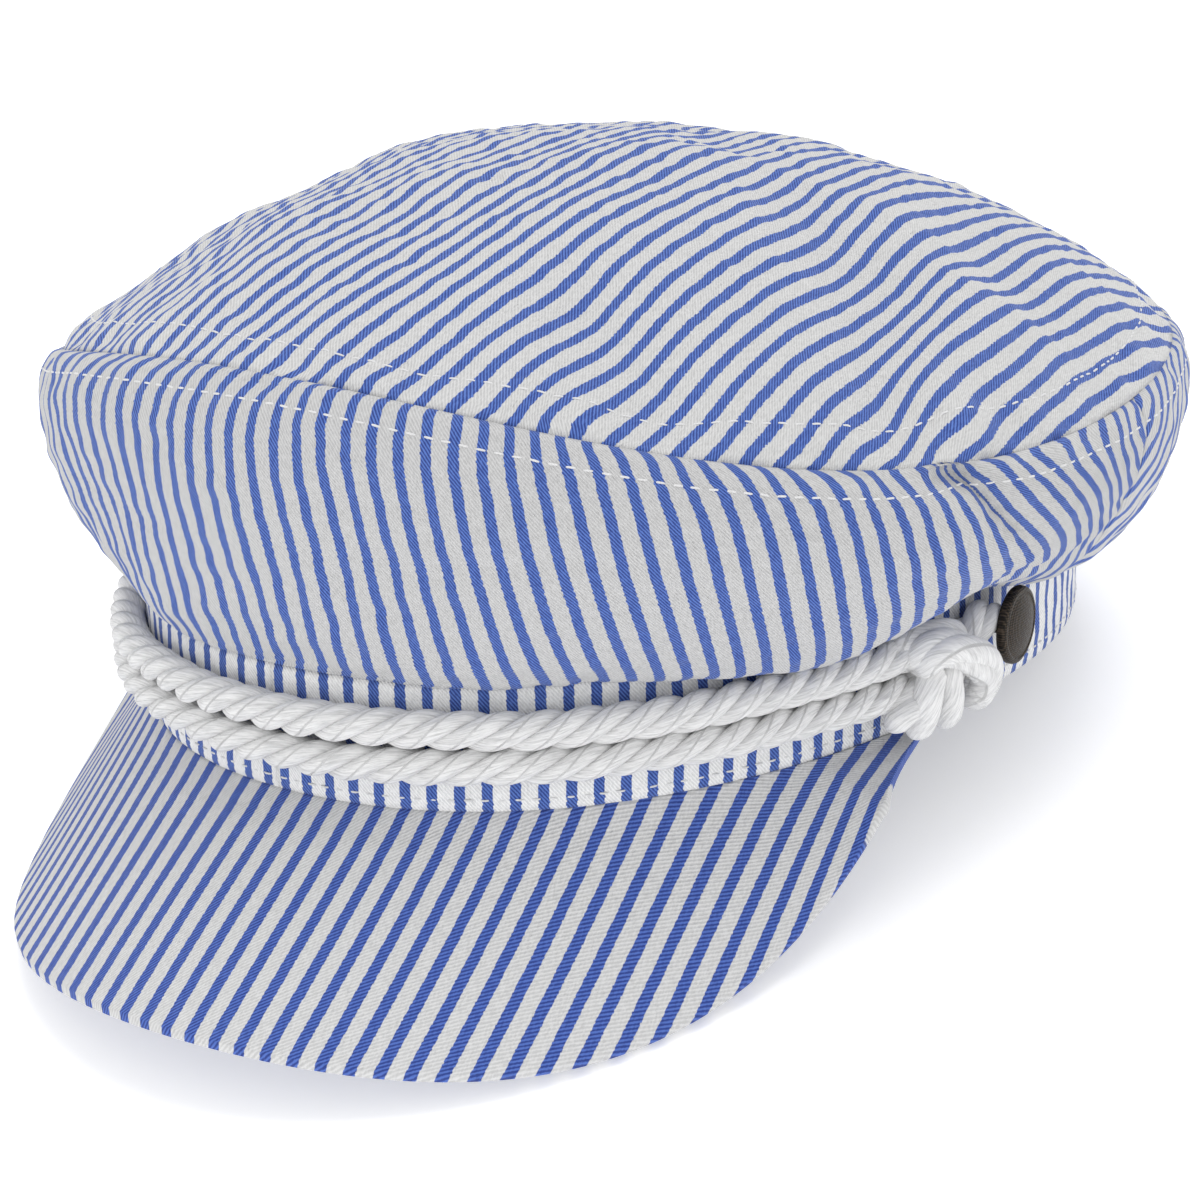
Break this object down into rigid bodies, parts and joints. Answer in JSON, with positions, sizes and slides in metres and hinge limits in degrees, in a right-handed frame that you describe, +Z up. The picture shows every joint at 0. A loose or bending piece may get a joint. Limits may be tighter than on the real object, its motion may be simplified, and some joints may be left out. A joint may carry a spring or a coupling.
{
  "type": "breton fisherman cap",
  "caption": "Soft striped cloth cap with a puffed crown, narrow headband, stiff curved peak and a twisted cord trim knotted to side buttons.",
  "frame": {"origin": "middle of the standing cap's outline, on the surface it stands on", "axes": "+Z up, -Y towards the peak (front of the cap), +X towards the wearer's left"},
  "size_m": [0.2202, 0.272, 0.1225],
  "materials": {
    "crown_cloth": "matte",
    "band_cloth": "matte",
    "peak_cloth": "matte",
    "cord_cotton": "matte",
    "button_metal": "satin"
  },
  "bodies": {
    "root": {"crown_top": "crown_cloth", "crown_side_front": "crown_cloth", "crown_side_back": "crown_cloth", "headband": "band_cloth", "visor": "peak_cloth", "cord_upper": "cord_cotton", "cord_lower": "cord_cotton", "knot_left": "cord_cotton", "button_left": "button_metal", "knot_right": "cord_cotton", "button_right": "button_metal"}
  },
  "joints": []
}
